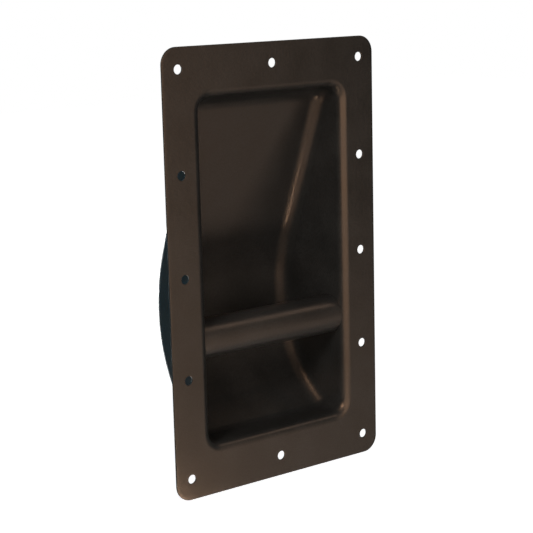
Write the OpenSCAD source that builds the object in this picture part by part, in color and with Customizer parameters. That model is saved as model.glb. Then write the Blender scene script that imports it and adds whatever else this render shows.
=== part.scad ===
// Recessed bar handle for a loudspeaker cabinet or a case: a steel dish pressed with
// its flange from one sheet, and a round steel tube welded across it as the grip.
// Millimetres. X runs along the grip bar, Z is up and Y runs into the cabinet.
// Y = 0 is the flange's back, which lies on the cabinet, and the front faces -Y.
// The origin is the centre of the screw pattern. A depth is measured from the
// flange's front face.

/* [Sheet] */
// Thickness of the pressed sheet
sheet_t = 1.2; // [0.8:0.1:2]

/* [Mouth] */
// Clear width between the side walls
mouth_w = 104; // [80:1:160]
// Clear height between the top and bottom walls
mouth_h = 205; // [170:1:280]
// Inside radius where two walls meet, and where the walls meet the back
corner_r = 7; // [3:0.5:9]
// Front radius of the roll from the flange into the walls
rim_r = 5.5; // [3:0.5:9]

/* [Flange] */
// Width of the flange beside a side wall
flange_side = 26.2; // [22:0.1:40]
// Width of the flange beyond the top or bottom wall
flange_end = 30.1; // [26:0.1:45]
// Radius of the flange's outer corners
flange_corner_r = 10; // [2:0.5:16]

/* [Screw holes] */
// Diameter of a screw hole
screw_d = 5.5; // [3:0.1:7]
// Distance from a flange side edge to its row of screws
screw_edge_side = 11.1; // [7:0.1:14]
// Distance from a flange end edge to its row of screws
screw_edge_end = 12.6; // [8:0.1:16]
// Screws down each side, with the corner ones
screws_per_side = 5; // [2:1:9]
// Screws across each end, with the corner ones
screws_per_end = 3; // [2:1:5]

/* [Dish] */
// Depth of the hollow at its deepest line
dish_depth = 58.5; // [48:0.5:80]
// Height of the deepest line
deepest_z = -30.5; // [-50:0.5:0]
// Inside radius of the bend from the top wall into the sloping back
top_bend_r = 15; // [10:0.5:30]
// Inside radius of the long curve from the slope to the deepest line
back_curve_r = 108.25; // [90:0.25:220]
// Depth at which the bottom wall starts to bend up
bottom_wall = 17.5; // [10:0.5:26]
// Inside radius of that bottom bend
bottom_bend_r = 10; // [8:0.5:18]

/* [Grip bar] */
// Outside diameter of the grip tube
bar_d = 24; // [16:0.1:30]
// Wall of the grip tube
bar_wall = 2; // [1:0.1:4]
// Depth of the tube's front line
bar_setback = 2.5; // [2:0.1:16]
// Height of the tube's centre
bar_z = -40.8; // [-60:0.1:-10]
// Length of tube that stands out of a side wall
bar_end = 3.2; // [3:0.1:8]
// Radial gap between the tube and its hole in a side wall
bar_gap = 0.1; // [0.05:0.01:0.3]

/* [Welds] */
// Height of the weld bead on the wall and on the tube
weld_leg = 2.4; // [1:0.1:2.8]

/* [Hidden] */
$fn = 96;

// Half sizes of the mouth, the flange and the screw pattern
half_w = mouth_w / 2;
half_h = mouth_h / 2;
flange_half_w = half_w + flange_side;
flange_half_h = half_h + flange_end;
screw_x = flange_half_w - screw_edge_side;
screw_z = flange_half_h - screw_edge_end;

// Y of the flange's front face, of the end of the rolled rim and of the tube's centre
front_y = -sheet_t;
rim_y = front_y + rim_r;
bar_r = bar_d / 2;
bar_y = front_y + bar_setback + bar_r;

// The back's outline in the Y-Z plane is four arcs and one line, each tangent to the
// next. An arc's centre is [Y, Z], and angles turn from +Y towards +Z.
top_centre = [rim_y, half_h - top_bend_r];
back_centre = [front_y + dish_depth - back_curve_r, deepest_z];
bottom_centre = [front_y + bottom_wall, bottom_bend_r - half_h];

// Lean of the slope: the tangent line that the top bend and the long curve share
centre_step = top_centre - back_centre;
lean = atan2(centre_step[1], centre_step[0])
    - acos((back_curve_r - top_bend_r) / norm(centre_step));
slope_length = sqrt(pow(norm(centre_step), 2) - pow(back_curve_r - top_bend_r, 2));
slope_reach = dish_depth / cos(lean);

// The lower curve starts at the deepest line and runs into the bottom bend
lower_run = dish_depth - bottom_wall;
lower_drop = deepest_z - bottom_centre[1];
lower_curve_r = (pow(lower_run, 2) + pow(lower_drop, 2) - pow(bottom_bend_r, 2))
    / (2 * (lower_run - bottom_bend_r));
lower_centre = [front_y + dish_depth - lower_curve_r, deepest_z];
lower_angle = atan2(lower_drop, lower_curve_r - lower_run);

// The bead runs round the tube from one end of the rolled rim to the other
weld_half_angle = acos(max(-1, (rim_y + weld_leg / 2 - bar_y) / (bar_r + weld_leg)));
eps = 0.5;

// Rounded rectangle of half sizes w and h
module rounded_plate(w, h, r) {
    union() {
        translate([-w, -(h - r)]) square([2 * w, 2 * (h - r)]);
        translate([-(w - r), -h]) square([2 * (w - r), 2 * h]);
        for (x = [-1, 1], y = [-1, 1])
            translate([x * (w - r), y * (h - r)]) circle(r);
    }
}

// Frame of the flange: X across, Y up the part and Z out of its front, from the back
module face_frame() {
    rotate([90, 0, 0]) children();
}

// Frame of the back's outline at an arc's centre: X outwards at the given angle,
// Y with the turn and Z across the dish
module outline_frame(centre, angle) {
    translate([0, centre[0], centre[1]])
        rotate([90, 0, 90])
            rotate([0, 0, angle])
                children();
}

// Section of the hollow (grow = 0) or of the dish's outside (grow = sheet_t): across
// the dish from wall to wall, and out to the back, with its two corners rounded
module hollow_section(from, back, grow) {
    w = half_w + grow;
    r = corner_r + grow;
    union() {
        translate([from, -w]) square([back - r - from, 2 * w]);
        translate([from, -(w - r)]) square([back - from, 2 * (w - r)]);
        for (side = [-1, 1])
            translate([back - r, side * (w - r)])
                intersection() {
                    circle(r);
                    translate([0, -r]) square([r, 2 * r]);
                }
    }
}

// The section swept round one arc of the outline, from one angle up to another. It is
// swept in from both ends and overlaps in the middle, so each end is true to its angle
module swept_arc(centre, radius, from_angle, to_angle, grow) {
    over_half = 0.6 * (to_angle - from_angle);
    outline_frame(centre, from_angle)
        rotate_extrude(angle = over_half) hollow_section(0, radius + grow, grow);
    outline_frame(centre, to_angle)
        mirror([0, 1, 0])
            rotate_extrude(angle = over_half) hollow_section(0, radius + grow, grow);
}

// The section run straight on, back down the turn from an arc's end
module straight_run(centre, radius, angle, length, reach, grow) {
    outline_frame(centre, angle)
        rotate([90, 0, 0])
            linear_extrude(length)
                hollow_section(-reach, radius + grow, grow);
}

// All of the hollow or of its outside, behind the rolled rim
module dish_form(grow) {
    union() {
        swept_arc(top_centre, top_bend_r, lean, 90, grow);
        straight_run(top_centre, top_bend_r, lean, slope_length, slope_reach, grow);
        swept_arc(back_centre, back_curve_r, 0, lean, grow);
        swept_arc(lower_centre, lower_curve_r, -lower_angle, 0, grow);
        swept_arc(bottom_centre, bottom_bend_r, -90, -lower_angle, grow);
        straight_run(bottom_centre, bottom_bend_r, -90, bottom_wall, lower_drop, grow);
    }
}

// Drawn walls and back: the outside form less the hollow, from the rim backwards
module dish_walls() {
    difference() {
        intersection() {
            dish_form(sheet_t);
            translate([-mouth_w, rim_y, -mouth_h]) cube([2 * mouth_w, 2 * dish_depth, 2 * mouth_h]);
        }
        dish_form(0);
    }
}

// Quarter ring from the flange into a wall, measured from a corner's own axis
module rim_section() {
    translate([corner_r + rim_r, sheet_t - rim_r])
        intersection() {
            difference() {
                circle(rim_r);
                circle(rim_r - sheet_t);
            }
            translate([-rim_r, 0]) square(rim_r);
        }
}

// Rolled rim of the mouth: four corners, each followed by one straight side
module rolled_rim() {
    x = half_w - corner_r;
    y = half_h - corner_r;
    corners = [[x, y], [-x, y], [-x, -y], [x, -y]];
    for (i = [0:3])
        translate(corners[i])
            rotate([0, 0, 90 * i]) {
                rotate_extrude(angle = 90) rim_section();
                rotate([90, 0, 0]) linear_extrude(i % 2 == 0 ? 2 * y : 2 * x) rim_section();
            }
}

// Flat flange round the mouth, with no holes yet
module flange() {
    linear_extrude(sheet_t)
        difference() {
            rounded_plate(flange_half_w, flange_half_h, flange_corner_r);
            rounded_plate(half_w + rim_r, half_h + rim_r, corner_r + rim_r);
        }
}

// Screw holes down both sides, and across both ends between the corners
module screw_holes() {
    side_pitch = 2 * screw_z / (screws_per_side - 1);
    end_pitch = 2 * screw_x / (screws_per_end - 1);
    for (side = [-1, 1]) {
        for (i = [0:screws_per_side - 1])
            translate([side * screw_x, i * side_pitch - screw_z, -eps])
                cylinder(d = screw_d, h = sheet_t + 2 * eps);
        if (screws_per_end > 2)
            for (i = [1:screws_per_end - 2])
                translate([i * end_pitch - screw_x, side * screw_z, -eps])
                    cylinder(d = screw_d, h = sheet_t + 2 * eps);
    }
}

// Round rod along X on the grip bar's axis
module bar_rod(r, length) {
    translate([-length / 2, bar_y, bar_z]) rotate([0, 90, 0]) cylinder(r = r, h = length);
}

// Pressed dish and flange in one sheet, pierced for the screws and the grip bar
module dish() {
    color([0.13, 0.11, 0.095])
        difference() {
            union() {
                dish_walls();
                face_frame() {
                    rolled_rim();
                    flange();
                }
            }
            face_frame() screw_holes();
            bar_rod(bar_r + bar_gap, mouth_w + 4 * rim_r);
        }
}

// Grip: a straight tube, open at both ends, that stands out of both side walls
module grip_bar() {
    length = mouth_w + 2 * (sheet_t + bar_end);
    color([0.16, 0.14, 0.12])
        difference() {
            bar_rod(bar_r, length);
            bar_rod(bar_r - bar_wall, length + 2 * eps);
        }
}

// Bead outside the wall at +X that joins the tube to the wall
module weld_bead() {
    translate([half_w + sheet_t, bar_y, bar_z])
        rotate([90, 0, 90])
            rotate([0, 0, -weld_half_angle])
                rotate_extrude(angle = 2 * weld_half_angle)
                    translate([bar_r, 0])
                        intersection() {
                            circle(weld_leg);
                            square(weld_leg);
                        }
}

module right_weld() {
    color([0.17, 0.15, 0.13]) weld_bead();
}

module left_weld() {
    color([0.17, 0.15, 0.13]) mirror([1, 0, 0]) weld_bead();
}

dish();
grip_bar();
left_weld();
right_weld();
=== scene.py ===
"""Looks of a recessed bar handle for a cabinet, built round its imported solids.

Metres, in the part's own frame: X runs along the grip bar, Z is up and Y runs into the
cabinet. The flange's back lies in the plane Y = 0, and its front faces -Y.
"""

import math

import bmesh
import bpy
from mathutils import Matrix, Vector


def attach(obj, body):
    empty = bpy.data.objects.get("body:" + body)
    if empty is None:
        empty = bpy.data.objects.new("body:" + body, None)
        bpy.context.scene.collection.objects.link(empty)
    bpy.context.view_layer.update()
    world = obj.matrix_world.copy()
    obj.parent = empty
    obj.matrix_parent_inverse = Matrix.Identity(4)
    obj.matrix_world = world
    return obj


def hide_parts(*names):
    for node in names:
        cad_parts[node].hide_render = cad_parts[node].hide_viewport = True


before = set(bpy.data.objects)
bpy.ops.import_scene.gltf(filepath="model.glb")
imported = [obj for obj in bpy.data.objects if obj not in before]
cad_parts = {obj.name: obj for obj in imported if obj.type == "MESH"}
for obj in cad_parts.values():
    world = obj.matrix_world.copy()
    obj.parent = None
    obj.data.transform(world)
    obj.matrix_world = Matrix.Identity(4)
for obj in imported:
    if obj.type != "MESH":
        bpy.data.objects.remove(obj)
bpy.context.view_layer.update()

MM = 0.001

# Turns that stand a flat grid or punch up to face the front, and lay a rod along X
STAND_UP = (math.pi / 2, 0.0, 0.0)
LAY_ALONG_X = (0.0, math.pi / 2, 0.0)

# Pressed sheet, in the sizes of the solids
SHEET = 1.2 * MM
FRONT = -SHEET
MOUTH_HALF_X = 52.0 * MM
MOUTH_HALF_Z = 102.5 * MM
RIM_RADIUS = 5.5 * MM
RIM_Y = FRONT + RIM_RADIUS

# Flange: half its size up to the centres of its corners, and the radius of the corners
FLANGE_CORE_X = 68.2 * MM
FLANGE_CORE_Z = 122.6 * MM
FLANGE_RADIUS = 10.0 * MM

# Inside radius of the corners at the rim and of the bend along the back further in, and
# the depth over which the first grows into the second
RIM_CORNER = 7.6 * MM
BACK_CORNER = 8.8 * MM
CORNER_GROWS_OVER = 16.0 * MM

# The side walls close in by this much from the rim to the deepest line
WALL_DRAFT = 1.6 * MM
DEEPEST_Y = FRONT + 58.5 * MM

# The back's outline in the Y-Z plane: each arc is its centre, radius and two angles
TOP_BEND = ((4.3 * MM, 87.5 * MM), 15.0 * MM, 90.0, 20.6097)
LONG_CURVE = ((-50.95 * MM, -30.5 * MM), 108.25 * MM, 20.6097, 0.0)
LOWER_CURVE = ((-30.2 * MM, -30.5 * MM), 87.5 * MM, 0.0, -53.1301)
BOTTOM_BEND = ((16.3 * MM, -92.5 * MM), 10.0 * MM, -53.1301, -90.0)

# Mesh steps along that outline, from the top rim to the bottom rim
TOP_BEND_STEPS = 14
SLOPE_STEPS = 10
LONG_CURVE_STEPS = 12
LOWER_CURVE_STEPS = 16
BOTTOM_BEND_STEPS = 8
BOTTOM_WALL_STEPS = 6

# Mesh steps round a corner, across the mouth, and over the back and front of the rim
CORNER_STEPS = 10
CROSS_STEPS = 12
RIM_BACK_STEPS = 8
RIM_FRONT_STEPS = 10

# Cut edge of the flange: the die rounds the front and leaves the back nearly square.
# The loops on the die's roll are shares of its width, from the cut edge inwards
EDGE_ROLL_WIDTH = 2.2 * MM
EDGE_ROLL_DROP = 0.08 * MM
EDGE_ROLL_LOOPS = (0.35, 0.52, 0.72, 1.0)
EDGE_FRONT_RADIUS = 0.3 * MM
EDGE_FRONT_STEPS = 5
EDGE_BACK_RADIUS = 0.15 * MM
EDGE_BACK_STEPS = 3

# Points closer than this are one point: in the joined sheet, and anywhere else
SHEET_MERGE = 0.002 * MM
SAME_POINT = 0.0001 * MM

# Screw holes, and the punch that cuts them. Edges that bend by more than the angle are
# the holes' own, and are rounded
SCREW_DIAMETER = 5.5 * MM
SCREW_SPAN_X = 134.2 * MM
SCREW_SPAN_Z = 240.0 * MM
SCREW_COLUMNS = 3
SCREW_ROWS = 5
HOLE_STEPS = 64
PUNCH_LENGTH = 8.0 * MM
HOLE_EDGE_RADIUS = 0.22 * MM
HOLE_EDGE_STEPS = 3
HOLE_EDGE_ANGLE = math.radians(50)

# Points of the screw grid within this share of its span aren't on its border
INSIDE_SHARE = 0.49

# Grip tube and its holes in the side walls, whose edges stay crisp
BAR_CENTRE_Y = 13.3 * MM
BAR_CENTRE_Z = -40.8 * MM
BAR_CENTRE = (0.0, BAR_CENTRE_Y, BAR_CENTRE_Z)
BAR_RADIUS = 12.0 * MM
BAR_WALL = 2.0 * MM
BAR_HALF_LENGTH = 56.4 * MM
BAR_END_ROUND = 0.5 * MM
BAR_END_STEPS = 5
BAR_STEPS = 128
BAR_GAP = 0.1 * MM
CRISP_ANGLE = math.radians(60)

# Weld beads. The foot of a bead is sunk into the wall, and its ripples lag on the crown.
# The whole ripples only keep the count of ripples above nought
BEAD_LEG = 2.4 * MM
BEAD_HALF_ANGLE = math.radians(122.5)
BEAD_FOOT_SINK = 0.25 * MM
BEAD_STEPS = 420
BEAD_SECTION_STEPS = 12
BEAD_RIPPLES = 42.0
BEAD_RIPPLE_HEIGHT = 0.34 * MM
BEAD_RIPPLE_LAG = 0.9
BEAD_UNEVEN_SCALE = 350.0
WHOLE_RIPPLES = 100.0

# Sheen of the coat: weaker than bare varnish, and warm
SHEEN_LEVEL = 0.33
SHEEN_TINT = (1.0, 0.57, 0.33, 1.0)
COAT_IOR = 1.5

# Surface of the coat: height of its relief, the grain's share of that, and the scale of
# the mottle
COAT_RELIEF = 0.08 * MM
GRAIN_SHARE = 0.9
MOTTLE_SCALE = 38.0

# The range of a noise that counts, the range of the mottle over which the tone changes,
# and how dark and light the flecks are
NOISE_RANGE = (0.3, 0.7)
TONE_RANGE = (0.35, 0.65)
FLECK_RANGE = (0.70, 1.30)

# Camera, as solved from the photograph's screw holes. Lens and sensor are in millimetres
CAMERA_PLACE = (-0.5555, -0.7081, 0.1745)
CAMERA_RIGHT = (0.78744, -0.61590, -0.02456)
CAMERA_UP = (0.13733, 0.13646, 0.98108)
CAMERA_BACK = (-0.60090, -0.77591, 0.19204)
CAMERA_LENS = 103.04
CAMERA_SENSOR = 36.0
CAMERA_NEAR = 10.0 * MM

# Floor: height, size, colour, and how bright it is made for the camera
FLOOR_Z = -1.1
FLOOR_SIZE = 24.0
FLOOR_GREY = (0.8, 0.8, 0.8)
FLOOR_LIFT = 0.97

WHITE = (1.0, 1.0, 1.0)
DEEP_BLUE = (0.12, 0.46, 0.66)
BLACK = (0.01, 0.01, 0.01)

# Strength of the world's light on the handle
WORLD_LEVEL = 0.08

# Lamps: azimuth and elevation in degrees, distance, width and height in metres, power in
# watts, and colour
SOFTBOXES = {
    "front_bank": (-18.0, 2.0, 1.6, 2.4, 1.05, 27.0, WHITE),
    "key_left": (-64.0, 30.0, 1.5, 0.35, 0.35, 19.0, WHITE),
    "right_high": (57.0, 45.0, 1.5, 0.4, 0.4, 2.0, WHITE),
    "right_middle": (50.0, 22.0, 1.5, 0.4, 0.4, 1.4, WHITE),
    "low_front": (24.0, -14.0, 1.5, 0.3, 0.3, 0.3, (0.95, 1.0, 0.85)),
    "corner_glare": (-3.0, -54.0, 0.266, 0.04, 0.04, 0.26, (1.0, 1.0, 0.95)),
    "left_low": (-59.0, -38.0, 1.5, 0.35, 0.35, 0.15, WHITE),
    "right_back": (115.0, -6.0, 1.5, 0.6, 0.6, 9.0, WHITE),
    "back": (165.0, -12.0, 1.6, 0.6, 0.6, 10.0, WHITE),
    "far_left_low": (-78.0, -35.0, 1.5, 0.35, 0.35, 1.0, WHITE),
}

# Cards: two opposite corners and a colour
CARDS = {
    "left_card": ((-0.9, 0.16, -0.9), (-0.9, 2.2, 1.5), DEEP_BLUE),
    "back_card": ((-0.9, 2.2, -0.9), (1.5, 2.2, 1.5), DEEP_BLUE),
    "right_card": ((0.75, -0.55, -1.05), (0.75, 0.9, 0.7), BLACK),
    "right_front_card": ((0.75, -0.95, -0.22), (0.75, -0.55, 0.7), BLACK),
    "high_card": ((-0.2, -1.2, 1.25), (1.8, 1.2, 1.25), BLACK),
    "low_card": ((-0.6, -1.0, -1.0), (0.55, 0.3, -1.0), BLACK),
    "left_front_card": ((-0.9, -0.6, -0.5), (-0.9, 0.16, 0.25), BLACK),
}


# Objects and node trees

def new_object(name, data):
    """Object at the origin that shows a mesh, a lamp or a camera."""
    item = bpy.data.objects.new(name, data)
    bpy.context.scene.collection.objects.link(item)
    return item


def new_piece(name, mesh):
    """Object at the origin that shows a mesh with smooth faces."""
    mesh.shade_smooth()
    return new_object(name, mesh)


def empty_tree(owner):
    """Node tree of a material or a world, with all its nodes taken out."""
    owner.use_nodes = True
    owner.node_tree.nodes.clear()
    return owner.node_tree


def add_node(tree, kind, values=None, **settings):
    """Adds a node, sets its options, and sets or links its inputs by name or number."""
    node = tree.nodes.new(kind)
    for key, value in settings.items():
        setattr(node, key, value)
    for key, value in (values or {}).items():
        socket = node.inputs[key]
        if isinstance(value, bpy.types.NodeSocket):
            tree.links.new(value, socket)
        else:
            socket.default_value = value
    return node


def maths(tree, operation, *values):
    """One Math node; values are numbers or sockets. Returns its output."""
    pairs = dict(enumerate(values))
    return add_node(tree, "ShaderNodeMath", pairs, operation=operation).outputs[0]


def new_geometry_tree(name, inputs):
    """Geometry node tree that takes and gives a mesh, and the sockets of its inputs."""
    tree = bpy.data.node_groups.new(name, "GeometryNodeTree")
    face = tree.interface
    face.new_socket("Geometry", in_out="INPUT", socket_type="NodeSocketGeometry")
    for label, kind in inputs:
        face.new_socket(label, in_out="INPUT", socket_type=kind)
    face.new_socket("Geometry", in_out="OUTPUT", socket_type="NodeSocketGeometry")
    return tree, tree.nodes.new("NodeGroupInput").outputs


def finish_geometry_tree(tree, geometry, material):
    """Ends a tree in real geometry with its material set."""
    real = add_node(tree, "GeometryNodeRealizeInstances", {"Geometry": geometry})
    painted = add_node(tree, "GeometryNodeSetMaterial", {
        "Geometry": real.outputs[0],
        "Material": material,
    })
    shaded = add_node(tree, "GeometryNodeSetShadeSmooth", {"Geometry": painted.outputs[0]})
    out = tree.nodes.new("NodeGroupOutput")
    tree.links.new(shaded.outputs[0], out.inputs[0])


def apply_tree(piece, tree, values):
    """Puts a tree on a piece as a modifier, with its inputs set by identifier."""
    modifier = piece.modifiers.new(tree.name, "NODES")
    modifier.node_group = tree
    for item in tree.interface.items_tree:
        if item.item_type == "SOCKET" and item.in_out == "INPUT" and item.name in values:
            modifier[item.identifier] = values[item.name]


def level_faces(piece):
    """Adds a modifier that shades flat faces flat and keeps sharp edges."""
    level = piece.modifiers.new("flat_faces", "WEIGHTED_NORMAL")
    level.keep_sharp = True


def bake_modifiers(piece):
    """Replaces a piece's mesh by what its modifiers make, and removes them."""
    depsgraph = bpy.context.evaluated_depsgraph_get()
    baked = bpy.data.meshes.new_from_object(piece.evaluated_get(depsgraph))
    piece.modifiers.clear()
    piece.data = baked
    baked.name = piece.name


# Pressed dish

def spread(start, end, count):
    """Evenly spaced numbers from start to end, with both."""
    return [start + (end - start) * i / count for i in range(count + 1)]


def turns(start, end, count):
    """Sine and cosine of evenly spaced angles in degrees, from start to end."""
    angles = [math.radians(angle) for angle in spread(start, end, count)]
    return [(math.sin(a), math.cos(a)) for a in angles]


def on_arc(arc, angle):
    """Point of one arc of the outline, and the direction out of the hollow there."""
    centre, radius, _, _ = arc
    out = (math.cos(math.radians(angle)), math.sin(math.radians(angle)))
    return (centre[0] + radius * out[0], centre[1] + radius * out[1]), out


def along_arc(arc, steps):
    """Rows along one arc of the outline, with both its ends."""
    _, _, start, end = arc
    return [on_arc(arc, angle) for angle in spread(start, end, steps)]


def between(first, last, steps):
    """Rows on the straight line between two rows, without its ends."""
    (y0, z0), out = first
    (y1, z1), _ = last
    return [((y0 + (y1 - y0) * t, z0 + (z1 - z0) * t), out) for t in spread(0, 1, steps)[1:-1]]


def corner_at(y):
    """Radius between wall and back at a depth: it grows smoothly from the rim inwards."""
    share = min(1.0, max(0.0, (y - RIM_Y) / CORNER_GROWS_OVER))
    return RIM_CORNER + (BACK_CORNER - RIM_CORNER) * share * share * (3 - 2 * share)


def back_outline():
    """Rows along the back's inside outline, from the top rim to the bottom rim.

    Each row is a point of the outline, the direction out of the hollow and the radius
    of the corner there.
    """
    long_curve = along_arc(LONG_CURVE, LONG_CURVE_STEPS)
    rows = along_arc(TOP_BEND, TOP_BEND_STEPS)
    rows += between(rows[-1], long_curve[0], SLOPE_STEPS)
    rows += long_curve
    rows += along_arc(LOWER_CURVE, LOWER_CURVE_STEPS)[1:]
    rows += along_arc(BOTTOM_BEND, BOTTOM_BEND_STEPS)[1:]
    (_, lowest), down = rows[-1]
    foot = ((RIM_Y, lowest), down)
    rows += between(rows[-1], foot, BOTTOM_WALL_STEPS) + [foot]
    return [(point, out, corner_at(point[0])) for point, out in rows]


def inset_line():
    """Edge of the flat side wall, one corner radius inside the outline."""
    return [(y - r * out[0], z - r * out[1]) for (y, z), out, r in back_outline()]


def rim_stations():
    """Stations round a rounded rectangle, as core signs (x, z) and an angle in degrees.

    They run from the right end of the top right corner over the top, down the left,
    under the bottom and up the right. Side stations lie on the rows of the back, so
    that walls and rim share their points.
    """
    heights = [z for _, z in inset_line()]
    down = [z / heights[0] for z in heights]
    across = spread(1.0, -1.0, CROSS_STEPS)
    stations = [(1.0, 1.0, a) for a in spread(0.0, 90.0, CORNER_STEPS)]
    stations += [(x, 1.0, 90.0) for x in across[1:-1]]
    stations += [(-1.0, 1.0, a) for a in spread(90.0, 180.0, CORNER_STEPS)]
    stations += [(-1.0, z, 180.0) for z in down[1:-1]]
    stations += [(-1.0, -1.0, a) for a in spread(180.0, 270.0, CORNER_STEPS)]
    stations += [(-x, -1.0, 270.0) for x in across[1:-1]]
    stations += [(1.0, -1.0, a) for a in spread(270.0, 360.0, CORNER_STEPS)]
    stations += [(1.0, z, 0.0) for z in reversed(down[1:-1])]
    return stations


def loop_points(core_x, core_z, radius, y):
    """Points round one loop of the flange or the rim."""
    points = []
    for x, z, angle in rim_stations():
        a = math.radians(angle)
        points.append((x * core_x + radius * math.cos(a), y, z * core_z + radius * math.sin(a)))
    return points


def edge_drop(inward):
    """How far the die's roll lowers the front at a distance from the cut edge."""
    share = max(0.0, 1.0 - inward / EDGE_ROLL_WIDTH)
    return EDGE_ROLL_DROP * share * share


def flange_loops():
    """Loops from the rim's back round the flange's cut edge to the rim's front."""
    wall = (MOUTH_HALF_X - RIM_CORNER, MOUTH_HALF_Z - RIM_CORNER)
    flange = (FLANGE_CORE_X, FLANGE_CORE_Z)
    roll = RIM_CORNER + RIM_RADIUS
    thin = RIM_RADIUS - SHEET
    loops = []
    for sine, cosine in turns(90.0, 0.0, RIM_BACK_STEPS):
        loops.append((*wall, roll - thin * sine, RIM_Y - thin * cosine))
    edge = FLANGE_RADIUS - EDGE_BACK_RADIUS
    for sine, cosine in turns(0.0, 90.0, EDGE_BACK_STEPS):
        y = -EDGE_BACK_RADIUS * (1 - cosine)
        loops.append((*flange, edge + EDGE_BACK_RADIUS * sine, y))
    edge = FLANGE_RADIUS - EDGE_FRONT_RADIUS
    lowered = FRONT + edge_drop(EDGE_FRONT_RADIUS)
    for sine, cosine in turns(90.0, 0.0, EDGE_FRONT_STEPS):
        y = lowered + EDGE_FRONT_RADIUS * (1 - cosine)
        loops.append((*flange, edge + EDGE_FRONT_RADIUS * sine, y))
    for share in EDGE_ROLL_LOOPS:
        inward = share * EDGE_ROLL_WIDTH
        loops.append((*flange, FLANGE_RADIUS - inward, FRONT + edge_drop(inward)))
    for sine, cosine in turns(0.0, 90.0, RIM_FRONT_STEPS):
        loops.append((*wall, roll - RIM_RADIUS * sine, RIM_Y - RIM_RADIUS * cosine))
    return loops


def join_rows(sheet, rows, closed):
    """Quads between rows of points in a bmesh; closed rows wrap round."""
    made = [[sheet.verts.new(point) for point in row] for row in rows]
    for upper, lower in zip(made, made[1:]):
        for i in range(len(upper) if closed else len(upper) - 1):
            j = (i + 1) % len(upper)
            sheet.faces.new((upper[i], upper[j], lower[j], lower[i]))


def add_skin(sheet, grow):
    """Back and side walls of one skin: grow is 0 inside and the sheet's thickness outside."""
    columns = [(x, angle) for x, z, angle in rim_stations() if z == 1.0 and angle <= 180.0]
    rows = []
    for (y, z), out, radius in back_outline():
        core = MOUTH_HALF_X - radius
        row = []
        for x, angle in columns:
            a = math.radians(angle)
            rise = (radius + grow) * math.sin(a) - radius
            across = x * core + (radius + grow) * math.cos(a)
            row.append((across, y + rise * out[0], z + rise * out[1]))
        rows.append(row)
    join_rows(sheet, rows, closed=False)
    for side in (1, -1):
        add_side_wall(sheet, side * (MOUTH_HALF_X + grow))


def add_side_wall(sheet, x):
    """Flat wall between the rim and the back's bend, with the rows' own points."""
    edge = inset_line()
    for upper, lower in zip(edge, edge[1:]):
        ring = [(RIM_Y, upper[1]), upper, lower, (RIM_Y, lower[1])]
        corners = [p for i, p in enumerate(ring) if math.dist(p, ring[i - 1]) > SAME_POINT]
        sheet.faces.new([sheet.verts.new((x, y, z)) for y, z in corners])


def draft(sheet):
    """Closes the side walls in with depth, as a pressed wall does to leave its die."""
    for vert in sheet.verts:
        depth = max(0.0, vert.co.y - RIM_Y) / (DEEPEST_Y - RIM_Y)
        vert.co.x *= 1.0 - depth * WALL_DRAFT / MOUTH_HALF_X


def pressed_sheet():
    """Closed mesh of the dish and its flange, before the holes are pierced."""
    sheet = bmesh.new()
    join_rows(sheet, [loop_points(*loop) for loop in flange_loops()], closed=True)
    add_skin(sheet, 0.0)
    add_skin(sheet, SHEET)
    bmesh.ops.remove_doubles(sheet, verts=sheet.verts, dist=SHEET_MERGE)
    draft(sheet)
    bmesh.ops.recalc_face_normals(sheet, faces=sheet.faces)
    mesh = bpy.data.meshes.new("dish_sheet")
    sheet.to_mesh(mesh)
    sheet.free()
    return mesh


def inside_border(tree, coordinate, span):
    """1 where a point of a grid isn't in its outermost rows along one axis."""
    reach = maths(tree, "MULTIPLY", span, INSIDE_SHARE)
    return maths(tree, "LESS_THAN", maths(tree, "ABSOLUTE", coordinate), reach)


def piercing_tree():
    """Pierces screw holes on the border of a grid."""
    tree, given = new_geometry_tree("pierce_sheet", (
        ("Screw diameter", "NodeSocketFloat"),
        ("Span across", "NodeSocketFloat"),
        ("Span up", "NodeSocketFloat"),
        ("Columns", "NodeSocketInt"),
        ("Rows", "NodeSocketInt"),
        ("Coat", "NodeSocketMaterial"),
    ))
    grid = add_node(tree, "GeometryNodeMeshGrid", {
        "Size X": given["Span across"],
        "Size Y": given["Span up"],
        "Vertices X": given["Columns"],
        "Vertices Y": given["Rows"],
    })
    upright = add_node(tree, "GeometryNodeTransform", {
        "Geometry": grid.outputs["Mesh"],
        "Rotation": STAND_UP,
    })
    position = tree.nodes.new("GeometryNodeInputPosition").outputs[0]
    place = add_node(tree, "ShaderNodeSeparateXYZ", {0: position}).outputs
    inside_x = inside_border(tree, place[0], given["Span across"])
    inside_z = inside_border(tree, place[2], given["Span up"])
    border = add_node(tree, "GeometryNodeDeleteGeometry", {
        "Geometry": upright.outputs[0],
        "Selection": maths(tree, "MULTIPLY", inside_x, inside_z),
    }, domain="POINT")
    punch = add_node(tree, "GeometryNodeMeshCylinder", {
        "Vertices": HOLE_STEPS,
        "Radius": maths(tree, "MULTIPLY", given["Screw diameter"], 0.5),
        "Depth": PUNCH_LENGTH,
    })
    turned = add_node(tree, "GeometryNodeTransform", {
        "Geometry": punch.outputs["Mesh"],
        "Rotation": (0.0, 0.0, math.pi / HOLE_STEPS),
    })
    punches = add_node(tree, "GeometryNodeInstanceOnPoints", {
        "Points": border.outputs[0],
        "Instance": turned.outputs[0],
        "Rotation": STAND_UP,
    })
    real = add_node(tree, "GeometryNodeRealizeInstances", {"Geometry": punches.outputs[0]})
    pierced = add_node(tree, "GeometryNodeMeshBoolean", {
        "Mesh 1": given["Geometry"],
        "Mesh 2": real.outputs[0],
    }, operation="DIFFERENCE", solver="EXACT")
    finish_geometry_tree(tree, pierced.outputs["Mesh"], given["Coat"])
    return tree


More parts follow.
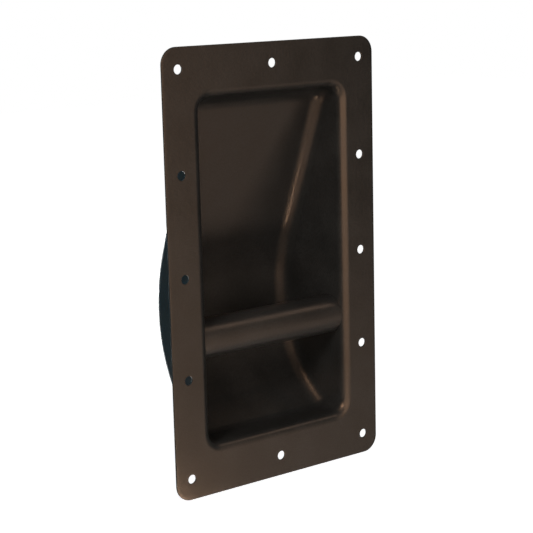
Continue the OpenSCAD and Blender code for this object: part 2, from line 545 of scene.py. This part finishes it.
def bar_hole_tree():
    """Cuts one round hole through both side walls for the grip tube."""
    tree, given = new_geometry_tree("cut_bar_holes", (
        ("Radius", "NodeSocketFloat"),
        ("Length", "NodeSocketFloat"),
        ("Centre", "NodeSocketVector"),
        ("Coat", "NodeSocketMaterial"),
    ))
    rod = add_node(tree, "GeometryNodeMeshCylinder", {
        "Vertices": BAR_STEPS,
        "Radius": given["Radius"],
        "Depth": given["Length"],
    })
    rod = add_node(tree, "GeometryNodeTransform", {
        "Geometry": rod.outputs["Mesh"],
        "Translation": given["Centre"],
        "Rotation": LAY_ALONG_X,
    })
    cut = add_node(tree, "GeometryNodeMeshBoolean", {
        "Mesh 1": given["Geometry"],
        "Mesh 2": rod.outputs[0],
    }, operation="DIFFERENCE", solver="EXACT")
    bend = tree.nodes.new("GeometryNodeInputMeshEdgeAngle").outputs["Unsigned Angle"]
    crisp = add_node(tree, "GeometryNodeSetShadeSmooth", {
        "Geometry": cut.outputs["Mesh"],
        "Selection": maths(tree, "GREATER_THAN", bend, CRISP_ANGLE),
        "Shade Smooth": False,
    }, domain="EDGE")
    finish_geometry_tree(tree, crisp.outputs[0], given["Coat"])
    return tree


def make_dish(coat):
    """Pressed dish with its flange, pierced, and with the edges of its screw holes rounded."""
    piece = new_piece("pressed_dish", pressed_sheet())
    apply_tree(piece, piercing_tree(), {
        "Screw diameter": SCREW_DIAMETER,
        "Span across": SCREW_SPAN_X,
        "Span up": SCREW_SPAN_Z,
        "Columns": SCREW_COLUMNS,
        "Rows": SCREW_ROWS,
        "Coat": coat,
    })
    soften = piece.modifiers.new("hole_edges", "BEVEL")
    soften.width = HOLE_EDGE_RADIUS
    soften.segments = HOLE_EDGE_STEPS
    soften.limit_method = "ANGLE"
    soften.angle_limit = HOLE_EDGE_ANGLE
    soften.use_clamp_overlap = False
    apply_tree(piece, bar_hole_tree(), {
        "Radius": BAR_RADIUS + BAR_GAP,
        "Length": 4 * MOUTH_HALF_X,
        "Centre": BAR_CENTRE,
        "Coat": coat,
    })
    level_faces(piece)
    bake_modifiers(piece)
    return piece


# Grip tube and weld beads

def tube_tree():
    """Tube along X: its rounded wall section is carried round a circle."""
    tree, given = new_geometry_tree("turn_tube", (
        ("Outer radius", "NodeSocketFloat"),
        ("Wall", "NodeSocketFloat"),
        ("Length", "NodeSocketFloat"),
        ("End round", "NodeSocketFloat"),
        ("Centre", "NodeSocketVector"),
        ("Coat", "NodeSocketMaterial"),
    ))
    section = add_node(tree, "GeometryNodeCurvePrimitiveQuadrilateral", {
        "Width": given["Wall"],
        "Height": given["Length"],
    })
    section = add_node(tree, "GeometryNodeFilletCurve", {
        "Curve": section.outputs[0],
        "Count": BAR_END_STEPS,
        "Radius": given["End round"],
    }, mode="POLY")
    section = add_node(tree, "GeometryNodeResampleCurve", {
        "Curve": section.outputs[0],
    }, mode="EVALUATED")
    half_wall = maths(tree, "MULTIPLY", given["Wall"], 0.5)
    ring = add_node(tree, "GeometryNodeCurvePrimitiveCircle", {
        "Resolution": BAR_STEPS,
        "Radius": maths(tree, "SUBTRACT", given["Outer radius"], half_wall),
    })
    tube = add_node(tree, "GeometryNodeCurveToMesh", {
        "Curve": ring.outputs["Curve"],
        "Profile Curve": section.outputs[0],
    })
    tube = add_node(tree, "GeometryNodeTransform", {
        "Geometry": tube.outputs[0],
        "Translation": given["Centre"],
        "Rotation": LAY_ALONG_X,
    })
    finish_geometry_tree(tree, tube.outputs[0], given["Coat"])
    return tree


def make_bar(coat):
    """Grip tube, open at both ends, with its cut edges taken off."""
    piece = new_piece("grip_tube", bpy.data.meshes.new("grip_tube"))
    apply_tree(piece, tube_tree(), {
        "Outer radius": BAR_RADIUS,
        "Wall": BAR_WALL,
        "Length": 2 * BAR_HALF_LENGTH,
        "End round": BAR_END_ROUND,
        "Centre": BAR_CENTRE,
        "Coat": coat,
    })
    level_faces(piece)
    bake_modifiers(piece)
    return piece


def bead_tree():
    """Weld bead: a quarter disc carried round the tube, with pool ripples.

    The ripple runs with the angle round the tube and lags on the bead's crown, so each
    pool is an arc.
    """
    tree, given = new_geometry_tree("lay_bead", (
        ("Tube radius", "NodeSocketFloat"),
        ("Leg", "NodeSocketFloat"),
        ("Half angle", "NodeSocketFloat"),
        ("Ripples", "NodeSocketFloat"),
        ("Ripple height", "NodeSocketFloat"),
        ("Coat", "NodeSocketMaterial"),
    ))
    sweep = maths(tree, "MULTIPLY", given["Half angle"], 2.0)
    path = add_node(tree, "GeometryNodeCurveArc", {
        "Resolution": BEAD_STEPS,
        "Radius": given["Tube radius"],
        "Start Angle": maths(tree, "MULTIPLY", given["Half angle"], -1.0),
        "Sweep Angle": sweep,
    }, mode="RADIUS")
    section = add_node(tree, "GeometryNodeCurveArc", {
        "Resolution": BEAD_SECTION_STEPS,
        "Radius": given["Leg"],
        "Start Angle": 0.0,
        "Sweep Angle": math.pi / 2,
        "Connect Center": True,
    }, mode="RADIUS")
    bead = add_node(tree, "GeometryNodeCurveToMesh", {
        "Curve": path.outputs["Curve"],
        "Profile Curve": section.outputs["Curve"],
        "Fill Caps": True,
    })
    position = tree.nodes.new("GeometryNodeInputPosition").outputs[0]
    place = add_node(tree, "ShaderNodeSeparateXYZ", {0: position}).outputs

    # How far a point stands out of the tube and up from the wall, and from that how near
    # it lies to the crown: 1 there and 0 at both feet
    x_squared = maths(tree, "POWER", place[0], 2.0)
    y_squared = maths(tree, "POWER", place[1], 2.0)
    flat = maths(tree, "SQRT", maths(tree, "ADD", x_squared, y_squared))
    out = maths(tree, "SUBTRACT", flat, given["Tube radius"])
    up = maths(tree, "ABSOLUTE", place[2])
    twice = maths(tree, "MULTIPLY", maths(tree, "MULTIPLY", out, up), 2.0)
    crown = maths(tree, "DIVIDE", twice, maths(tree, "POWER", given["Leg"], 2.0))
    crown = add_node(tree, "ShaderNodeClamp", {"Value": crown}).outputs[0]

    # Each ripple climbs fast, then slowly, and drops at its end
    angle = maths(tree, "ARCTAN2", place[1], place[0])
    share = maths(tree, "DIVIDE", angle, sweep)
    turn = maths(tree, "MULTIPLY", share, given["Ripples"])
    turn = maths(tree, "ADD", turn, maths(tree, "MULTIPLY", crown, BEAD_RIPPLE_LAG))
    turn = maths(tree, "ADD", turn, WHOLE_RIPPLES)
    pool = maths(tree, "SQRT", maths(tree, "FRACT", turn))
    pool = maths(tree, "SUBTRACT", pool, 1.0)
    pool = maths(tree, "MULTIPLY", pool, crown)

    # The noise is about a half, so the ripples are round their full height
    uneven = add_node(tree, "ShaderNodeTexNoise", {
        "Vector": position,
        "Scale": BEAD_UNEVEN_SCALE,
        "Detail": 1.0,
    }).outputs[0]
    uneven = maths(tree, "ADD", uneven, 0.5)
    size = maths(tree, "MULTIPLY", given["Ripple height"], uneven)
    height = maths(tree, "MULTIPLY", pool, size)
    normal = tree.nodes.new("GeometryNodeInputNormal").outputs[0]
    offset = add_node(tree, "ShaderNodeVectorMath", {
        0: normal,
        "Scale": height,
    }, operation="SCALE")
    bead = add_node(tree, "GeometryNodeSetPosition", {
        "Geometry": bead.outputs[0],
        "Offset": offset.outputs[0],
    })
    finish_geometry_tree(tree, bead.outputs[0], given["Coat"])
    return tree


def make_bead(name, tree, side, coat):
    """Bead on the outside of one wall, round the back of the tube, that leans with the wall."""
    piece = new_piece(name, bpy.data.meshes.new(name))
    apply_tree(piece, tree, {
        "Tube radius": BAR_RADIUS,
        "Leg": BEAD_LEG,
        "Half angle": BEAD_HALF_ANGLE,
        "Ripples": BEAD_RIPPLES,
        "Ripple height": BEAD_RIPPLE_HEIGHT,
        "Coat": coat,
    })
    bake_modifiers(piece)
    foot = side * (MOUTH_HALF_X + SHEET - BEAD_FOOT_SINK)
    turn = Matrix(((0.0, 0.0, -side), (1.0, 0.0, 0.0), (0.0, 1.0, 0.0)))
    place = Matrix.Translation((foot, BAR_CENTRE_Y, BAR_CENTRE_Z))
    piece.data.transform(place @ turn.to_4x4())
    shell = bmesh.new()
    shell.from_mesh(piece.data)
    bmesh.ops.remove_doubles(shell, verts=shell.verts, dist=SAME_POINT)
    draft(shell)
    bmesh.ops.recalc_face_normals(shell, faces=shell.faces)
    shell.to_mesh(piece.data)
    shell.free()
    return piece


# Finishes

def noise(tree, place, scale, detail, roughness):
    """Output of a noise at a place."""
    return add_node(tree, "ShaderNodeTexNoise", {
        "Vector": place,
        "Scale": scale,
        "Detail": detail,
        "Roughness": roughness,
    }).outputs[0]


def coat_grain_group():
    """Powder coat's surface: a soft orange peel and a fine grain, with a slow mottle."""
    group = bpy.data.node_groups.new("coat_grain", "ShaderNodeTree")
    face = group.interface
    for label in ("Peel scale", "Grain scale"):
        face.new_socket(label, in_out="INPUT", socket_type="NodeSocketFloat")
    for label in ("Height", "Mottle", "Speckle"):
        face.new_socket(label, in_out="OUTPUT", socket_type="NodeSocketFloat")
    given = group.nodes.new("NodeGroupInput").outputs
    place = group.nodes.new("ShaderNodeTexCoord").outputs["Object"]
    peel = noise(group, place, given["Peel scale"], detail=2.0, roughness=0.5)
    speckle = noise(group, place, given["Grain scale"], detail=3.0, roughness=0.6)
    mottle = noise(group, place, MOTTLE_SCALE, detail=4.0, roughness=0.55)
    height = maths(group, "ADD", peel, maths(group, "MULTIPLY", speckle, GRAIN_SHARE))
    out = group.nodes.new("NodeGroupOutput")
    group.links.new(height, out.inputs["Height"])
    group.links.new(mottle, out.inputs["Mottle"])
    group.links.new(speckle, out.inputs["Speckle"])
    return group


def map_noise(tree, value, low, high):
    """Stretches the range of a noise that counts to run from low to high."""
    return add_node(tree, "ShaderNodeMapRange", {
        "Value": value,
        "From Min": NOISE_RANGE[0],
        "From Max": NOISE_RANGE[1],
        "To Min": low,
        "To Max": high,
    }).outputs[0]


def powder_coat(name, surface_group, dark, light, rough, rough_swing, bump, peel_scale, grain_scale):
    """Satin powder coat: two close tones mixed by the mottle, over the coat's grain."""
    material = bpy.data.materials.new(name)
    tree = empty_tree(material)
    surface = add_node(tree, "ShaderNodeGroup", {
        "Peel scale": peel_scale,
        "Grain scale": grain_scale,
    }, node_tree=surface_group).outputs
    tone = add_node(tree, "ShaderNodeValToRGB", {"Fac": surface["Mottle"]})
    for stop, place, colour in zip(tone.color_ramp.elements, TONE_RANGE, (dark, light)):
        stop.position = place
        stop.color = (*colour, 1.0)
    flecked = add_node(tree, "ShaderNodeMix", {
        "Factor": 1.0,
        "A": tone.outputs[0],
        "B": map_noise(tree, surface["Speckle"], *FLECK_RANGE),
    }, data_type="RGBA", blend_type="MULTIPLY")
    relief = add_node(tree, "ShaderNodeBump", {
        "Height": surface["Height"],
        "Strength": bump,
        "Distance": COAT_RELIEF,
    })
    coat = add_node(tree, "ShaderNodeBsdfPrincipled", {
        "Base Color": flecked.outputs["Result"],
        "Roughness": map_noise(tree, surface["Mottle"], rough - rough_swing, rough + rough_swing),
        "Normal": relief.outputs[0],
        "IOR": COAT_IOR,
        "Specular IOR Level": SHEEN_LEVEL,
        "Specular Tint": SHEEN_TINT,
    })
    out = tree.nodes.new("ShaderNodeOutputMaterial")
    tree.links.new(coat.outputs[0], out.inputs["Surface"])
    return material


# Studio

def stand_camera():
    """Camera at the photograph's place, angle and field of view."""
    data = bpy.data.cameras.new("photo_camera")
    data.lens = CAMERA_LENS
    data.sensor_width = CAMERA_SENSOR
    data.clip_start = CAMERA_NEAR
    camera = new_object("photo_camera", data)
    turn = Matrix((CAMERA_RIGHT, CAMERA_UP, CAMERA_BACK)).transposed()
    camera.matrix_world = Matrix.Translation(CAMERA_PLACE) @ turn.to_4x4()
    bpy.context.scene.camera = camera


def light_path_mask(tree):
    """1 for rays that see the background: camera, glossy and transmission rays."""
    path = tree.nodes.new("ShaderNodeLightPath").outputs
    seen = maths(tree, "MAXIMUM", path["Is Camera Ray"], path["Is Glossy Ray"])
    return maths(tree, "MAXIMUM", seen, path["Is Transmission Ray"])


def light_world():
    """Weak even light from the world, which is seen as white in the background."""
    world = bpy.data.worlds.new("studio")
    bpy.context.scene.world = world
    tree = empty_tree(world)
    mask = light_path_mask(tree)
    even = add_node(tree, "ShaderNodeBackground", {"Color": (*WHITE, 1.0), "Strength": WORLD_LEVEL})
    white = add_node(tree, "ShaderNodeBackground", {"Color": (*WHITE, 1.0), "Strength": 1.0})
    mix = add_node(tree, "ShaderNodeMixShader", {0: mask, 1: even.outputs[0], 2: white.outputs[0]})
    out = tree.nodes.new("ShaderNodeOutputWorld")
    tree.links.new(mix.outputs[0], out.inputs["Surface"])


def make_floor():
    """Plain pale floor, well below the handle, that reads as white and keeps shadows."""
    half = FLOOR_SIZE / 2
    mesh = bpy.data.meshes.new("floor")
    corners = [(-half, -half), (half, -half), (half, half), (-half, half)]
    mesh.from_pydata([(x, y, FLOOR_Z) for x, y in corners], [], [(0, 1, 2, 3)])
    floor = new_object("floor", mesh)
    material = bpy.data.materials.new("pale_floor")
    tree = empty_tree(material)
    lift = maths(tree, "MULTIPLY", light_path_mask(tree), FLOOR_LIFT)
    glow = add_node(tree, "ShaderNodeEmission", {"Strength": lift})
    matt = add_node(tree, "ShaderNodeBsdfDiffuse", {"Color": (*FLOOR_GREY, 1.0)})
    both = add_node(tree, "ShaderNodeAddShader", {0: glow.outputs[0], 1: matt.outputs[0]})
    out = tree.nodes.new("ShaderNodeOutputMaterial")
    tree.links.new(both.outputs[0], out.inputs["Surface"])
    mesh.materials.append(material)


def stand_card(name, low, high, colour):
    """Dark card, unseen, that the coat mirrors in place of the white studio.

    Low and high are opposite corners, and they agree along the card's flat axis.
    """
    first, second = [axis for axis in range(3) if low[axis] != high[axis]]
    corners = []
    for near, far in ((low, low), (high, low), (high, high), (low, high)):
        corner = list(low)
        corner[first] = near[first]
        corner[second] = far[second]
        corners.append(corner)
    mesh = bpy.data.meshes.new(name)
    mesh.from_pydata(corners, [], [(0, 1, 2, 3)])
    card = new_object(name, mesh)
    material = bpy.data.materials.new(name)
    material.use_nodes = True
    shader = material.node_tree.nodes["Principled BSDF"]
    shader.inputs["Base Color"].default_value = (*colour, 1.0)
    shader.inputs["Specular IOR Level"].default_value = 0.0
    mesh.materials.append(material)
    card.visible_camera = False


def softbox(name, azimuth, elevation, distance, width, height, power, colour):
    """Area lamp that faces the handle. Azimuth 0 is straight in front of it."""
    data = bpy.data.lights.new(name, "AREA")
    data.shape = "RECTANGLE"
    data.size = width
    data.size_y = height
    data.energy = power
    data.color = colour
    lamp = new_object(name, data)
    a = math.radians(azimuth)
    e = math.radians(elevation)
    away = Vector((math.sin(a) * math.cos(e), -math.cos(a) * math.cos(e), math.sin(e)))
    lamp.location = away * distance
    lamp.rotation_euler = away.to_track_quat("Z", "Y").to_euler()
    lamp.visible_camera = False


bpy.context.scene.view_settings.view_transform = "Standard"
stand_camera()

coat_grain = coat_grain_group()
dish_coat = powder_coat(
    "dish_coat",
    coat_grain,
    dark=(0.0080, 0.0078, 0.0072),
    light=(0.0110, 0.0106, 0.0098),
    rough=0.32,
    rough_swing=0.03,
    bump=0.85,
    peel_scale=420.0,
    grain_scale=850.0,
)
bar_coat = powder_coat(
    "bar_coat",
    coat_grain,
    dark=(0.0084, 0.0081, 0.0075),
    light=(0.0115, 0.0111, 0.0103),
    rough=0.32,
    rough_swing=0.03,
    bump=0.80,
    peel_scale=380.0,
    grain_scale=800.0,
)
weld_coat = powder_coat(
    "weld_coat",
    coat_grain,
    dark=(0.0130, 0.0120, 0.0105),
    light=(0.0185, 0.0165, 0.0145),
    rough=0.44,
    rough_swing=0.05,
    bump=0.6,
    peel_scale=500.0,
    grain_scale=2100.0,
)

dish = make_dish(dish_coat)
bar = make_bar(bar_coat)
lay_bead = bead_tree()
right_bead = make_bead("right_bead", lay_bead, 1, weld_coat)
left_bead = make_bead("left_bead", lay_bead, -1, weld_coat)

for piece, node, slot in (
    (dish, "dish", "dish"),
    (bar, "grip_bar", "grip_bar"),
    (right_bead, "right_weld", "weld"),
    (left_bead, "left_weld", "weld"),
):
    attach(piece, "root")
    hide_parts(node)

light_world()
make_floor()
for name, card in CARDS.items():
    stand_card(name, *card)
for name, lamp in SOFTBOXES.items():
    softbox(name, *lamp)
